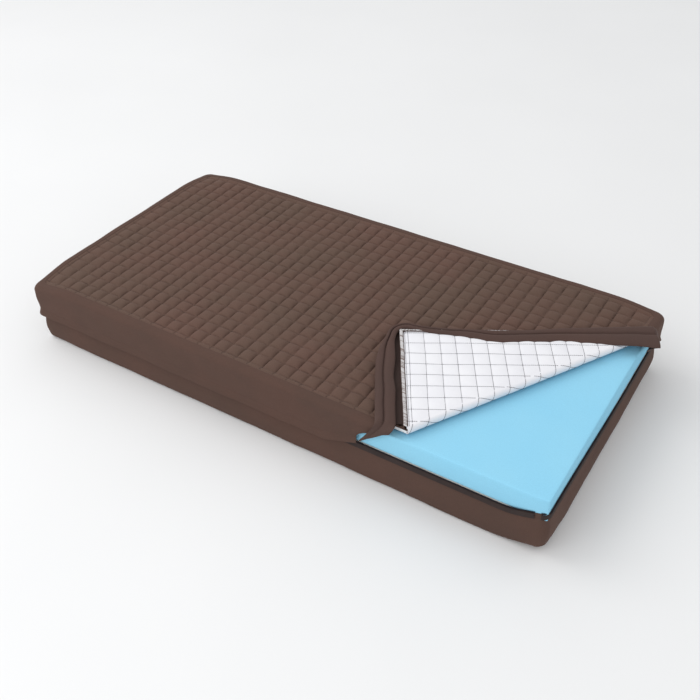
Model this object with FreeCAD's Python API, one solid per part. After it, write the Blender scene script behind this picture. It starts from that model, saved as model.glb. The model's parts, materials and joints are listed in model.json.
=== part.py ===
import FreeCAD, Part
import math
import os

from FreeCAD import Placement, Rotation, Vector

# A zip-off foam mattress, lying flat, one corner of its quilted top folded back.
# Millimetres. Origin: centre of the underside. +X along the length, +Z up.
# Every piece is drawn closed, then the corner pieces are turned to where they lie folded back.

# Driving dimensions
LENGTH = 1208.0            # over the side bands
WIDTH = 608.0
PANEL_TOP = 150.0          # top of the quilted panel
CLOTH = 1.4                # side bands and base
SHOULDER_RADIUS = 12.0     # bend of a side band over the foam's edge
SEAM_INSET = 20.0          # from the outer face in to the seam round the quilted panel

# Quilted panel, from the top down
FACE = 1.0
WADDING = 7.0
BACKING = 0.6
THREAD = 0.3
THREAD_WIDTH = 0.8
QUILT_PITCH = 30.4
CROSS_ROWS = 39            # stitched lines across the width
LENGTH_ROWS = 19           # stitched lines along the length
OVERLOCK_WIDTH = 7.0
OVERLOCK_THICK = 1.2

# Foam core
FOAM_INSET = 9.0           # from the outer face of the cover
FOAM_BOTTOM = 3.0
FOAM_SPLIT = 86.0          # top of the support layer
FOAM_TOP = 136.0

# Zip, behind the lower edge of the upper bands
PLACKET_BOTTOM = 64.0
LOWER_BAND_TOP = 84.0
LOWER_BAND_INSET = 5.8
TEETH_INSET = 5.6
TEETH_THICK = 1.8
LOWER_TEETH_Z = (84.2, 87.0)
UPPER_TEETH_Z = (88.8, 91.6)
TAPE = 0.6
TAPE_WIDTH = 12.0
UPPER_TAPE_TOP = 104.0
ZIP_START_X = 560.0        # on the far side, where the zip begins
ZIP_END_Y = 262.0          # on the right end, where the open zip ends

# Folded corner: the fold runs from the near side to the right end
FOLD_NEAR = Vector(312.0, -300.0, 0.0)
FOLD_RIGHT = Vector(600.0, 212.0, 0.0)
FOLD_GAP = 0.3             # each side of the fold
FOLD_AXIS_Z = PANEL_TOP + 0.2
FOLD_ANGLE = 178.0
BAND_ANGLE = 89.0
HEM_ANGLE = 178.0
BAND_AXIS_INSET = 3.0      # from the outer face and from the panel's top
HEM_AXIS_Z = {"long": 105.0, "short": 122.0}
HEM_AXIS_INSET = {"long": 4.9, "short": 6.3}
BAND_START_X = 335.0
BAND_END_Y = 209.0
CORNER_GAP = 3.3           # the flap's bands stop this far short of the corner
ZIP_CORNER_GAP = 8.0       # and its hems and zip this far
ZIP_FOLD_GAP = 5.0         # the short leg's zip stops this far before its hem does

# Zip slider and pull
SLIDER_X = 140.0
SLIDER_LENGTH = 11.0
SLIDER_PLATE = 1.0
SLIDER_BOTTOM = 84.4       # clear of the lower tape
PIN_Z = 85.4
PULL_LENGTH = 16.0
PULL_WIDTH = 6.0
PULL_THICK = 1.2
PIN_RADIUS = 0.85
PIN_CLEARANCE = 0.05

HALF_LENGTH = LENGTH / 2
HALF_WIDTH = WIDTH / 2
PANEL_X = HALF_LENGTH - SEAM_INSET
PANEL_Y = HALF_WIDTH - SEAM_INSET
WADDING_TOP = PANEL_TOP - FACE
BACKING_TOP = WADDING_TOP - WADDING
BACKING_BOTTOM = BACKING_TOP - BACKING
THREAD_BOTTOM = BACKING_BOTTOM - THREAD
FOLD_DIRECTION = (FOLD_RIGHT - FOLD_NEAR).normalize()
FOLD_OUTWARD = Vector(FOLD_DIRECTION.y, -FOLD_DIRECTION.x, 0)
BIG = 4000.0

SIDE_TURN = {"near": 0, "right": 90, "far": 180, "left": 270}
SIDE_HALF = {"near": HALF_WIDTH, "right": HALF_LENGTH, "far": HALF_WIDTH, "left": HALF_LENGTH}
SIDE_RUN = {"near": HALF_LENGTH, "right": HALF_WIDTH, "far": HALF_LENGTH, "left": HALF_WIDTH}


def box(low, high):
    size = [b - a for a, b in zip(low, high)]
    return Part.makeBox(size[0], size[1], size[2], Vector(*low))


def prism(outline, bottom, top):
    points = [Vector(x, y, bottom) for x, y in outline]
    face = Part.Face(Part.makePolygon(points + points[:1]))
    return face.extrude(Vector(0, 0, top - bottom))


def turned(shape, axis_point, axis, angle):
    moved = shape.copy()
    moved.rotate(axis_point, axis, angle)
    return moved


def rectangle(depth, thickness, bottom, top):
    """Section of a side piece, as (distance in from the outer face, height)."""
    corners = [(depth, bottom), (depth + thickness, bottom), (depth + thickness, top), (depth, top)]
    points = [Vector(0, d, z) for d, z in corners]
    return Part.Face(Part.makePolygon(points + points[:1]))


def upper_band_section():
    """A band that comes over the shoulder from the seam and hangs down over the zip."""
    inner = SHOULDER_RADIUS - CLOTH
    diagonal = math.sqrt(0.5)
    centre = Vector(0, SHOULDER_RADIUS, PANEL_TOP - SHOULDER_RADIUS)
    outer_mid = centre + Vector(0, -SHOULDER_RADIUS * diagonal, SHOULDER_RADIUS * diagonal)
    inner_mid = centre + Vector(0, -inner * diagonal, inner * diagonal)
    hem_out = Vector(0, 0, PLACKET_BOTTOM)
    side_out = Vector(0, 0, centre.z)
    top_out = Vector(0, centre.y, PANEL_TOP)
    seam_out = Vector(0, SEAM_INSET, PANEL_TOP)
    seam_in = Vector(0, SEAM_INSET, PANEL_TOP - CLOTH)
    top_in = Vector(0, centre.y, PANEL_TOP - CLOTH)
    side_in = Vector(0, CLOTH, centre.z)
    hem_in = Vector(0, CLOTH, PLACKET_BOTTOM)
    edges = [
        Part.LineSegment(hem_out, side_out).toShape(),
        Part.Arc(side_out, outer_mid, top_out).toShape(),
        Part.LineSegment(top_out, seam_out).toShape(),
        Part.LineSegment(seam_out, seam_in).toShape(),
        Part.LineSegment(seam_in, top_in).toShape(),
        Part.Arc(top_in, inner_mid, side_in).toShape(),
        Part.LineSegment(side_in, hem_in).toShape(),
        Part.LineSegment(hem_in, hem_out).toShape(),
    ]
    return Part.Face(Part.Wire(edges))


def upper_tape_section():
    """A tape that leans from the zip's plane out to the inside of the upper band."""
    bottom = UPPER_TEETH_Z[1]
    low = TEETH_INSET
    points = [
        Vector(0, low, bottom),
        Vector(0, low + TAPE, bottom),
        Vector(0, CLOTH + TAPE, UPPER_TAPE_TOP),
        Vector(0, CLOTH, UPPER_TAPE_TOP),
    ]
    return Part.Face(Part.makePolygon(points + points[:1]))


def side_piece(section, side, start, end, mitred=True):
    """The section run along one side of the mattress, cut at 45 degrees where two sides meet."""
    half = SIDE_HALF[side]
    run = SIDE_RUN[side]
    face = section.copy()
    face.translate(Vector(start, -half, 0))
    piece = face.extrude(Vector(end - start, 0, 0))
    if mitred:
        reach = SEAM_INSET + OVERLOCK_WIDTH
        plan = [(-run, -half), (run, -half), (run - reach, -half + reach), (-run + reach, -half + reach)]
        piece = piece.common(prism(plan, -1, PANEL_TOP + 1))
    return turned(piece, Vector(0, 0, 0), Vector(0, 0, 1), SIDE_TURN[side])


def joined(pieces):
    return pieces[0].multiFuse(pieces[1:]).removeSplitter()


def ring(section, spans):
    return joined([side_piece(section, side, start, end) for side, start, end in spans])


def beyond_fold(offset):
    """Everything on the flap's side of the fold, moved off the fold by the offset."""
    start = FOLD_NEAR + FOLD_OUTWARD * offset - FOLD_DIRECTION * BIG
    along = FOLD_DIRECTION * (2 * BIG)
    out = FOLD_OUTWARD * BIG
    corners = [start, start + along, start + along + out, start + out]
    return prism([(c.x, c.y) for c in corners], -10, PANEL_TOP + 10)


def on_main(shape):
    return shape.cut(beyond_fold(-FOLD_GAP))


def on_flap(shape):
    return shape.common(beyond_fold(FOLD_GAP))


def panel_slab(bottom, top):
    return box((-PANEL_X, -PANEL_Y, bottom), (PANEL_X, PANEL_Y, top))


def quilting_lines():
    half = THREAD_WIDTH / 2
    lines = []
    for row in range(CROSS_ROWS):
        x = (row - (CROSS_ROWS - 1) / 2) * QUILT_PITCH
        lines.append(box((x - half, -PANEL_Y, THREAD_BOTTOM), (x + half, PANEL_Y, BACKING_BOTTOM)))
    for row in range(LENGTH_ROWS):
        y = (row - (LENGTH_ROWS - 1) / 2) * QUILT_PITCH
        lines.append(box((-PANEL_X, y - half, THREAD_BOTTOM), (PANEL_X, y + half, BACKING_BOTTOM)))
    return joined(lines)


def full_spans():
    return [(side, -SIDE_RUN[side], SIDE_RUN[side]) for side in SIDE_TURN]


def zip_spans():
    """The zip runs round from the far side to the right end and leaves the far right corner closed."""
    return [
        ("far", -ZIP_START_X, HALF_LENGTH),
        ("left", -HALF_WIDTH, HALF_WIDTH),
        ("near", -HALF_LENGTH, HALF_LENGTH),
        ("right", -HALF_WIDTH, ZIP_END_Y),
    ]


def foam_block(bottom, top):
    x = HALF_LENGTH - FOAM_INSET
    y = HALF_WIDTH - FOAM_INSET
    return box((-x, -y, bottom), (x, y, top))


def base_pieces():
    reach_x = HALF_LENGTH - LOWER_BAND_INSET - CLOTH
    reach_y = HALF_WIDTH - LOWER_BAND_INSET - CLOTH
    parts = {"base_panel": box((-reach_x, -reach_y, 0), (reach_x, reach_y, CLOTH))}
    seam = rectangle(LOWER_BAND_INSET + CLOTH, OVERLOCK_WIDTH, CLOTH, FOAM_BOTTOM)
    parts["base_overlock_seam"] = ring(seam, full_spans())
    wall = rectangle(LOWER_BAND_INSET, CLOTH, 0, LOWER_BAND_TOP)
    for side in SIDE_TURN:
        run = SIDE_RUN[side]
        parts["lower_band_" + side] = side_piece(wall, side, -run, run)
    return parts


def foam_pieces():
    return {
        "support_foam": foam_block(FOAM_BOTTOM, FOAM_SPLIT),
        "comfort_foam": foam_block(FOAM_SPLIT, FOAM_TOP),
    }


def panel_layers():
    return {
        "face_cloth": panel_slab(WADDING_TOP, PANEL_TOP),
        "wadding": panel_slab(BACKING_TOP, WADDING_TOP),
        "backing_cloth": panel_slab(BACKING_BOTTOM, BACKING_TOP),
        "quilting_thread": quilting_lines(),
    }


def overlock_section():
    return rectangle(SEAM_INSET - OVERLOCK_WIDTH + 1, OVERLOCK_WIDTH, THREAD_BOTTOM - OVERLOCK_THICK, THREAD_BOTTOM)


def main_top_pieces(layers):
    parts = {"main_" + name: on_main(layer) for name, layer in layers.items()}
    parts["main_overlock_seam"] = on_main(ring(overlock_section(), full_spans()))
    for side in SIDE_TURN:
        run = SIDE_RUN[side]
        parts["upper_band_" + side] = on_main(side_piece(upper_band_section(), side, -run, run))
    return parts


def zip_teeth_section(heights):
    return rectangle(TEETH_INSET, TEETH_THICK, heights[0], heights[1])


def zip_pieces():
    lower_tape = rectangle(LOWER_BAND_INSET - TAPE, TAPE, LOWER_BAND_TOP - TAPE_WIDTH, LOWER_BAND_TOP)
    return {
        "zip_tape_lower": ring(lower_tape, zip_spans()),
        "zip_coil_lower": ring(zip_teeth_section(LOWER_TEETH_Z), zip_spans()),
        "zip_tape_upper": on_main(ring(upper_tape_section(), zip_spans())),
        "zip_coil_upper": on_main(ring(zip_teeth_section(UPPER_TEETH_Z), zip_spans())),
    }


def zip_stops():
    clip = 3.0
    both = rectangle(TEETH_INSET, TEETH_THICK, LOWER_TEETH_Z[0], UPPER_TEETH_Z[1])
    start = side_piece(both, "far", -ZIP_START_X - clip, -ZIP_START_X, mitred=False)
    ends = []
    for heights in (LOWER_TEETH_Z, UPPER_TEETH_Z):
        section = zip_teeth_section(heights)
        ends.append(side_piece(section, "right", ZIP_END_Y, ZIP_END_Y + clip, mitred=False))
    return {"zip_start_stop": start, "zip_end_stops": Part.makeCompound(ends)}


def flap_shoulders():
    """The parts of the flap's side bands that lie over the shoulder, level with the panel."""
    edge_x = HALF_LENGTH - BAND_AXIS_INSET - FOLD_GAP
    edge_y = HALF_WIDTH - BAND_AXIS_INSET - FOLD_GAP
    long_plan = [(0, -PANEL_Y), (0, -edge_y), (edge_x, -edge_y), (PANEL_X, -PANEL_Y)]
    short_plan = [(PANEL_X, -PANEL_Y), (edge_x, -edge_y), (edge_x, PANEL_Y), (PANEL_X, PANEL_Y)]
    bottom = PANEL_TOP - CLOTH
    return {
        "flap_shoulder_long": on_flap(prism(long_plan, bottom, PANEL_TOP)),
        "flap_shoulder_short": on_flap(prism(short_plan, bottom, PANEL_TOP)),
    }


def flap_panel_pieces(layers):
    parts = {"flap_" + name: on_flap(layer) for name, layer in layers.items()}
    seams = {"long": "near", "short": "right"}
    for leg, side in seams.items():
        run = SIDE_RUN[side]
        parts["flap_overlock_" + leg] = on_flap(side_piece(overlock_section(), side, -run, run))
    parts.update(flap_shoulders())
    return parts


def flap_legs():
    """Each leg of the folded corner: its side, and where its band starts and ends."""
    return {
        "long": ("near", BAND_START_X, HALF_LENGTH - CORNER_GAP),
        "short": ("right", -HALF_WIDTH + CORNER_GAP, BAND_END_Y),
    }


def hem_run(leg):
    """Where a leg's hem starts and ends, and where its zip does."""
    _, start, end = flap_legs()[leg]
    if leg == "long":
        corner = HALF_LENGTH - ZIP_CORNER_GAP
        return (start, corner), (start, corner)
    corner = -HALF_WIDTH + ZIP_CORNER_GAP
    return (corner, end), (corner, end - ZIP_FOLD_GAP)


def flap_band(leg):
    side, start, end = flap_legs()[leg]
    top = PANEL_TOP - BAND_AXIS_INSET - FOLD_GAP
    section = rectangle(0, CLOTH, HEM_AXIS_Z[leg] + FOLD_GAP, top)
    return {"flap_band_" + leg: side_piece(section, side, start, end, mitred=False)}


def flap_hem(leg):
    side = flap_legs()[leg][0]
    cloth_run, zip_run = hem_run(leg)
    sections = {
        "flap_hem_": (rectangle(0, CLOTH, PLACKET_BOTTOM, HEM_AXIS_Z[leg] - FOLD_GAP), cloth_run),
        "flap_zip_tape_": (upper_tape_section(), zip_run),
        "flap_zip_coil_": (zip_teeth_section(UPPER_TEETH_Z), zip_run),
    }
    return {
        name + leg: side_piece(section, side, run[0], run[1], mitred=False)
        for name, (section, run) in sections.items()
    }


def band_axis(leg):
    z = PANEL_TOP - BAND_AXIS_INSET
    if leg == "long":
        return Vector(0, -HALF_WIDTH + BAND_AXIS_INSET, z), Vector(1, 0, 0)
    return Vector(HALF_LENGTH - BAND_AXIS_INSET, 0, z), Vector(0, 1, 0)


def hem_axis(leg):
    inset = HEM_AXIS_INSET[leg]
    if leg == "long":
        return Vector(0, -HALF_WIDTH + inset, HEM_AXIS_Z[leg]), Vector(-1, 0, 0)
    return Vector(HALF_LENGTH - inset, 0, HEM_AXIS_Z[leg]), Vector(0, -1, 0)


def fold_hem(shape, leg):
    point, axis = hem_axis(leg)
    return turned(shape, point, axis, -HEM_ANGLE)


def fold_band(shape, leg):
    point, axis = band_axis(leg)
    return turned(shape, point, axis, -BAND_ANGLE)


def fold_back(shape):
    point = FOLD_NEAR + Vector(0, 0, FOLD_AXIS_Z)
    return turned(shape, point, FOLD_DIRECTION, -FOLD_ANGLE)


def folded_corner(layers):
    parts = {name: fold_back(shape) for name, shape in flap_panel_pieces(layers).items()}
    for leg in flap_legs():
        for name, shape in flap_band(leg).items():
            parts[name] = fold_back(fold_band(shape, leg))
        for name, shape in flap_hem(leg).items():
            parts[name] = fold_back(fold_band(fold_hem(shape, leg), leg))
    return parts


def pin_place():
    front = -HALF_WIDTH + TEETH_INSET - 0.4 - SLIDER_PLATE
    return Vector(SLIDER_X, front, PIN_Z)


def zip_slider():
    """Two plates either side of the lower coil, joined by a web above it, with a pin for the pull."""
    low_x = SLIDER_X - SLIDER_LENGTH / 2
    high_x = SLIDER_X + SLIDER_LENGTH / 2
    teeth_front = -HALF_WIDTH + TEETH_INSET
    front = teeth_front - 0.4 - SLIDER_PLATE
    back = teeth_front + TEETH_THICK + 0.3
    web_bottom = LOWER_TEETH_Z[1] + 0.4
    web_top = UPPER_TEETH_Z[0] - 0.4
    plate = box((low_x, front, SLIDER_BOTTOM), (high_x, front + SLIDER_PLATE, web_top))
    web = box((low_x, front, web_bottom), (high_x, back + SLIDER_PLATE, web_top))
    rear = box((low_x, back, 85.0), (high_x, back + SLIDER_PLATE, UPPER_TEETH_Z[1]))
    shank = 2.3
    pin = Part.makeCylinder(PIN_RADIUS, shank, pin_place(), Vector(0, -1, 0))
    head_at = pin_place() - Vector(0, shank - 0.4, 0)
    head = Part.makeCylinder(PIN_RADIUS + 0.7, 0.4, head_at, Vector(0, -1, 0))
    return joined([plate, web, rear, pin, head])


def zip_pull():
    """A flat tab that hangs from the slider's pin."""
    pin = pin_place()
    near_face = pin.y - 0.4 - PULL_THICK
    half = PULL_WIDTH / 2
    centre = Vector(pin.x, near_face, pin.z)
    eye = Part.makeCylinder(half, PULL_THICK, centre, Vector(0, 1, 0))
    tab = box((pin.x - half, near_face, pin.z - PULL_LENGTH), (pin.x + half, near_face + PULL_THICK, pin.z))
    hole = Part.makeCylinder(PIN_RADIUS + PIN_CLEARANCE, PULL_THICK, centre, Vector(0, 1, 0))
    return joined([eye, tab]).cut(hole)


def all_parts():
    layers = panel_layers()
    parts = {}
    parts.update(base_pieces())
    parts.update(foam_pieces())
    parts.update(main_top_pieces(layers))
    parts.update(zip_pieces())
    parts.update(zip_stops())
    parts.update(folded_corner(layers))
    parts["zip_slider"] = zip_slider()
    parts["zip_pull"] = zip_pull()
    return parts


def report_joint(name, point, axis):
    place = [round(v, 4) for v in point]
    way = [round(v, 6) for v in axis]
    print("joint", name, "at", place, "axis", way)


def report_joints():
    """The hinge lines of the folded corner, where they lie at rest."""
    back = Placement(Vector(), Rotation(FOLD_DIRECTION, -FOLD_ANGLE), FOLD_NEAR + Vector(0, 0, FOLD_AXIS_Z))
    report_joint("corner_fold", FOLD_NEAR + Vector(0, 0, FOLD_AXIS_Z), FOLD_DIRECTION)
    for leg in flap_legs():
        point, axis = band_axis(leg)
        up = Placement(Vector(), Rotation(axis, -BAND_ANGLE), point)
        report_joint("band_" + leg, back.multVec(point), back.Rotation.multVec(axis))
        hem_point, hem_way = hem_axis(leg)
        chain = back.multiply(up)
        report_joint("hem_" + leg, chain.multVec(hem_point), chain.Rotation.multVec(hem_way))
    report_joint("pull", pin_place(), Vector(0, 1, 0))


def main():
    os.makedirs("parts", exist_ok=True)
    for name, shape in all_parts().items():
        print(name, "solids", len(shape.Solids), "valid", shape.isValid(), "mm3", round(shape.Volume))
        shape.exportStep("parts/" + name + ".step")
    report_joints()


main()
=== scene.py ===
"""The looks of a zip-off foam mattress that lies flat, one corner of its quilted top folded back.

Cloth is drawn closed, in millimetres, and then turned by the model's own joints to where it lies folded.
"""

import json
import math

import bmesh
import bpy
import numpy as np
from mathutils import Matrix, Vector


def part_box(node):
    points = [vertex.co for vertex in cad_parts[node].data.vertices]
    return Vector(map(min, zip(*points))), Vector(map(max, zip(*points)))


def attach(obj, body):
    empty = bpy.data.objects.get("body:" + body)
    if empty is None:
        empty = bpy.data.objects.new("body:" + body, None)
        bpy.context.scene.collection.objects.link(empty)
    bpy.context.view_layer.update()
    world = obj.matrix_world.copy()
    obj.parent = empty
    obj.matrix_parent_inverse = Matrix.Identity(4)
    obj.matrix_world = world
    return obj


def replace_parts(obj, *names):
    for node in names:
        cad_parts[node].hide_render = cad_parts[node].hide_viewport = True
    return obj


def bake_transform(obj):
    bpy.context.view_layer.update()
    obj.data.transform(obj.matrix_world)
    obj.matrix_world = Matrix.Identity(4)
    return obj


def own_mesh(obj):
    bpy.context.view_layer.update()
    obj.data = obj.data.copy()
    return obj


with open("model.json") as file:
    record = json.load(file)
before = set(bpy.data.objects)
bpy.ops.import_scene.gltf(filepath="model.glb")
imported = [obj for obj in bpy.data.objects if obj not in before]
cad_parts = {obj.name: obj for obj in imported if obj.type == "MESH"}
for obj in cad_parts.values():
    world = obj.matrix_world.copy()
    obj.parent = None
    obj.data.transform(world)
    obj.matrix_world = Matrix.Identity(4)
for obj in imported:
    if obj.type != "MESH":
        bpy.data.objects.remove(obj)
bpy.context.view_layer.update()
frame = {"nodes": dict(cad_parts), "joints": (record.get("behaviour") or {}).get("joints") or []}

MM = 0.001


def cad_box(node):
    low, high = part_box(node)
    return np.array(low) / MM, np.array(high) / MM


# Sizes that the frame gives
HALF_LENGTH = -cad_box("upper_band_left")[0][0]
HALF_WIDTH = cad_box("upper_band_far")[1][1]
PANEL_TOP = cad_box("main_face_cloth")[1][2]
SEAM_X = -cad_box("main_face_cloth")[0][0]
SEAM_Y = -cad_box("main_face_cloth")[0][1]
SEAM_INSET = HALF_LENGTH - SEAM_X
BACKING_BOTTOM = cad_box("main_backing_cloth")[0][2]
PLACKET_BOTTOM = cad_box("upper_band_far")[0][2]
LOWER_TOP = cad_box("lower_band_near")[1][2]
LOWER_INSET = HALF_WIDTH + cad_box("lower_band_near")[0][1]
COIL_TOP = cad_box("zip_coil_lower")[1][2]
COIL_BOTTOM = cad_box("zip_coil_lower")[0][2]
COIL_INSET = HALF_WIDTH + cad_box("zip_coil_lower")[0][1]
TAPE_BOTTOM = cad_box("zip_tape_lower")[0][2]
TAPE_INSET = HALF_WIDTH + cad_box("zip_tape_lower")[0][1]
FOAM_INSET = HALF_LENGTH - cad_box("comfort_foam")[1][0]
FOAM_SPLIT, FOAM_TOP = cad_box("comfort_foam")[0][2], cad_box("comfort_foam")[1][2]
FOAM_BOTTOM = cad_box("support_foam")[0][2]

# Cloth and quilting
CLOTH = 1.4
FACE = 1.0
QUILT_PITCH = 30.4
PUFF = 6.6                  # from a crosswise stitched line up to the middle of a square
BACKING_PUFF = 1.8
LEAST_THICKNESS = 2.4       # face, wadding and backing drawn together by a stitch
SHOULDER_RADIUS = 12.0
CORNER_RADIUS = 17.0
DROOP = 11.0                # how far the made-up corners hang
DROOP_REACH = 120.0         # and how far from the corner that starts
PANEL_CORNER = 14.0         # the quilted panel's own corners
HEM = 20.0                  # turned-in edge of the upper bands

def unit(vectors):
    return vectors / np.linalg.norm(vectors, axis=-1, keepdims=True)


JOINTS = {joint["name"]: joint for joint in frame["joints"]}
FOLD_POINT = np.array(JOINTS["corner_fold"]["pos_m"]) / MM
FOLD_WAY = unit(np.array(JOINTS["corner_fold"]["axis"]))
FOLD_OUT = np.array([FOLD_WAY[1], -FOLD_WAY[0], 0.0])
FOLD_GAP = 0.3              # each side of the fold


def turned(points, name, way):
    """Points turned by a joint through its whole range: way is 1 to close it and -1 to open it."""
    joint = JOINTS[name]
    centre = np.array(joint["pos_m"]) / MM
    matrix = np.array(Matrix.Rotation(math.radians(way * joint["range_deg"][1]), 3, Vector(joint["axis"])))
    return (np.asarray(points) - centre) @ matrix.T + centre


def laid_back(points, *joints):
    """Closed points, turned by these joints to where they are at rest."""
    for name in joints:
        points = turned(points, name, -1)
    return points


def closed_box(node, *joints):
    """A CAD node's lowest and highest corners when its joints are closed."""
    points = np.array([v.co for v in frame["nodes"][node].data.vertices]) / MM
    for name in reversed(joints):
        points = turned(points, name, 1)
    return points.min(0), points.max(0)


def smooth(value):
    value = np.clip(value, 0.0, 1.0)
    return value * value * (3 - 2 * value)


def ripple(u, v, wavelength, seed, waves=7):
    """A smooth uneven field, mostly between -1 and 1, with features about a wavelength across."""
    rng = np.random.default_rng(seed)
    u, v = np.broadcast_arrays(u, v)
    total = np.zeros(u.shape)
    for _ in range(waves):
        angle = rng.uniform(0, math.tau)
        size = wavelength * rng.uniform(0.6, 1.7)
        phase = rng.uniform(0, math.tau)
        total = total + np.sin((u * math.cos(angle) + v * math.sin(angle)) * math.tau / size + phase)
    return total * 1.6 / waves


# ---------------------------------------------------------------- meshes

def mesh_object(name, points, faces, materials, sharp=55.0, face_material=None):
    mesh = bpy.data.meshes.new(name)
    mesh.from_pydata((np.asarray(points) * MM).tolist(), [], faces)
    for material in materials:
        mesh.materials.append(material)
    if face_material is not None:
        mesh.polygons.foreach_set("material_index", np.asarray(face_material, dtype=np.int32))
    work = bmesh.new()
    work.from_mesh(mesh)
    bmesh.ops.recalc_face_normals(work, faces=work.faces)
    work.to_mesh(mesh)
    work.free()
    mesh.polygons.foreach_set("use_smooth", [True] * len(mesh.polygons))
    mesh.set_sharp_from_angle(angle=math.radians(sharp))
    obj = bpy.data.objects.new(name, mesh)
    bpy.context.scene.collection.objects.link(obj)
    return obj


def grid_faces(rows, columns, wrap=False):
    faces = []
    for row in range(rows if wrap else rows - 1):
        here = row * columns
        there = ((row + 1) % rows) * columns
        for column in range(columns - 1):
            faces.append((here + column, there + column, there + column + 1, here + column + 1))
    return faces


def closed_skin(name, outer, inner, faces, materials):
    """One closed piece: an outer face, an inner face with the same layout, and a rim round them."""
    count = len(outer)
    directed = set()
    for face in faces:
        directed.update(zip(face, face[1:] + face[:1]))
    rim = [(b, a, a + count, b + count) for a, b in sorted(directed) if (b, a) not in directed]
    under = [tuple(i + count for i in reversed(face)) for face in faces]
    return mesh_object(name, np.vstack([outer, inner]), list(faces) + under + rim, materials)


def cloth_grid(name, outer, inner, materials, wrap=False):
    """A closed cloth from two grids of points of the same size."""
    rows, columns = outer.shape[:2]
    faces = grid_faces(rows, columns, wrap)
    return closed_skin(name, outer.reshape(-1, 3), inner.reshape(-1, 3), faces, materials)


def beads(name, centres, tips, heads, size, materials, face_material=None):
    """Many small rounded bars: stitches, thread loops and zip teeth.

    Each one runs from its centre towards its tip, and its upper face looks towards its head.
    """
    ways = unit(tips - centres)
    sides = unit(np.cross(heads - centres, ways))
    ups = np.cross(ways, sides)
    length, width, height = size
    stations = [(-0.5, 0.45), (-0.3, 1.0), (0.3, 1.0), (0.5, 0.45)]
    corners = [(-0.5, 0.0), (-0.3, 0.5), (0.3, 0.5), (0.5, 0.0), (0.3, -0.5), (-0.3, -0.5)]
    points = []
    for along, fullness in stations:
        for across, rise in corners:
            points.append(
                centres + ways * (along * length) + sides * (across * width * fullness)
                + ups * (rise * height * fullness)
            )
    points = np.stack(points, axis=1)
    ring = len(corners)
    single = []
    for station in range(len(stations) - 1):
        for corner in range(ring):
            a = station * ring + corner
            b = station * ring + (corner + 1) % ring
            single.append((a, b, b + ring, a + ring))
    single.append(tuple(reversed(range(ring))))
    single.append(tuple(range((len(stations) - 1) * ring, len(stations) * ring)))
    per_bead = points.shape[1]
    faces = []
    colours = []
    for bead in range(len(centres)):
        faces.extend(tuple(i + bead * per_bead for i in face) for face in single)
        if face_material is not None:
            colours.extend([face_material[bead]] * len(single))
    return mesh_object(name, points.reshape(-1, 3), faces, materials, sharp=80.0,
                       face_material=colours if face_material is not None else None)


# ---------------------------------------------------------------- the quilted panel

# Length, width and height of one stitch, and the distance from one to the next
TOP_STITCH, TOP_STITCH_PITCH = (4.6, 1.3, 0.8), 5.0
BACKING_STITCH, BACKING_STITCH_PITCH = (3.1, 0.95, 0.7), 3.7
SEAM_STITCH, SEAM_STITCH_PITCH = (2.7, 0.8, 0.7), 3.6
FOLD_STITCH = (3.0, 0.9, 0.6)
STITCH_PROUD = 0.15         # a stitch's middle stands this far off its cloth

QUILT_TABLE = np.random.default_rng(11).uniform(0.86, 1.06, (60, 60))
FRACTIONS_ACROSS = (0.0, 0.045, 0.12, 0.27, 0.5, 0.73, 0.88, 0.955)
FRACTIONS_ALONG = (0.0, 0.06, 0.17, 0.38, 0.62, 0.83, 0.94)


def beyond(x, y):
    """Distance past the fold, on the flap's side."""
    return (x - FOLD_POINT[0]) * FOLD_OUT[0] + (y - FOLD_POINT[1]) * FOLD_OUT[1]


def seam_distance(x, y):
    return np.minimum(SEAM_X - np.abs(x), SEAM_Y - np.abs(y))


def rounded_plan(x, y):
    """The panel's plan with its square corners drawn in to a small radius."""
    u = np.clip(np.abs(x) - SEAM_X + PANEL_CORNER, 0, None)
    v = np.clip(np.abs(y) - SEAM_Y + PANEL_CORNER, 0, None)
    size = np.maximum(u, v)
    shrink = np.where(size > 0, size / np.maximum(np.hypot(u, v), 1e-9), 1.0)
    return x - np.sign(x) * u * (1 - shrink), y - np.sign(y) * v * (1 - shrink)


def droop(x, y):
    """The made-up corners hang a little. The open one doesn't: its foam stands square."""
    open_corner = (x > 0) & (y < 0)
    return np.where(open_corner, 0.0, DROOP * corner_nearness(x, y, DROOP_REACH) ** 1.4)


def line_nearness(value):
    """0 in the middle of a square, 1 on its stitched line."""
    return np.abs(2 * np.mod(value / QUILT_PITCH, 1) - 1)


def wander(x, y):
    """Stitched lines aren't quite straight."""
    return x + 0.9 * ripple(x, y, 150, 3), y + 0.9 * ripple(x, y, 170, 4)


def puff(x, y):
    """How full the quilting is at a place: 0 on a crosswise stitched line, about 1 mid-square."""
    u, v = wander(x, y)
    column = np.floor(u / QUILT_PITCH).astype(int) + 30
    row = np.floor(v / QUILT_PITCH).astype(int) + 30
    across = line_nearness(u)
    along = line_nearness(v)
    crosswise = (1 - across ** 3.2) ** 0.72
    lengthwise = (1 - along ** 3.4) ** 0.75
    pucker = 0.05 * np.sin(v * math.tau / 7.5 + column * 2.1) * across ** 5
    return crosswise * (0.16 + 0.84 * lengthwise) * QUILT_TABLE[column, row] + pucker


def face_top(x, y):
    low = PANEL_TOP + 0.6 - PUFF
    quilted = low + PUFF * puff(x, y) + 0.7 * ripple(x, y, 260, 5)
    edge = PANEL_TOP - 0.9
    level = edge + (quilted - edge) * smooth((seam_distance(x, y) - 1.0) / 13.0) ** 0.8 - droop(x, y)
    return np.maximum(level, backing_level(x, y) + LEAST_THICKNESS)


def face_bottom(x, y):
    return face_top(x, y) - FACE


def wadding_top(x, y):
    return np.maximum(face_top(x, y) - FACE - 0.1, backing_top(x, y) + 0.1)


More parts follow.
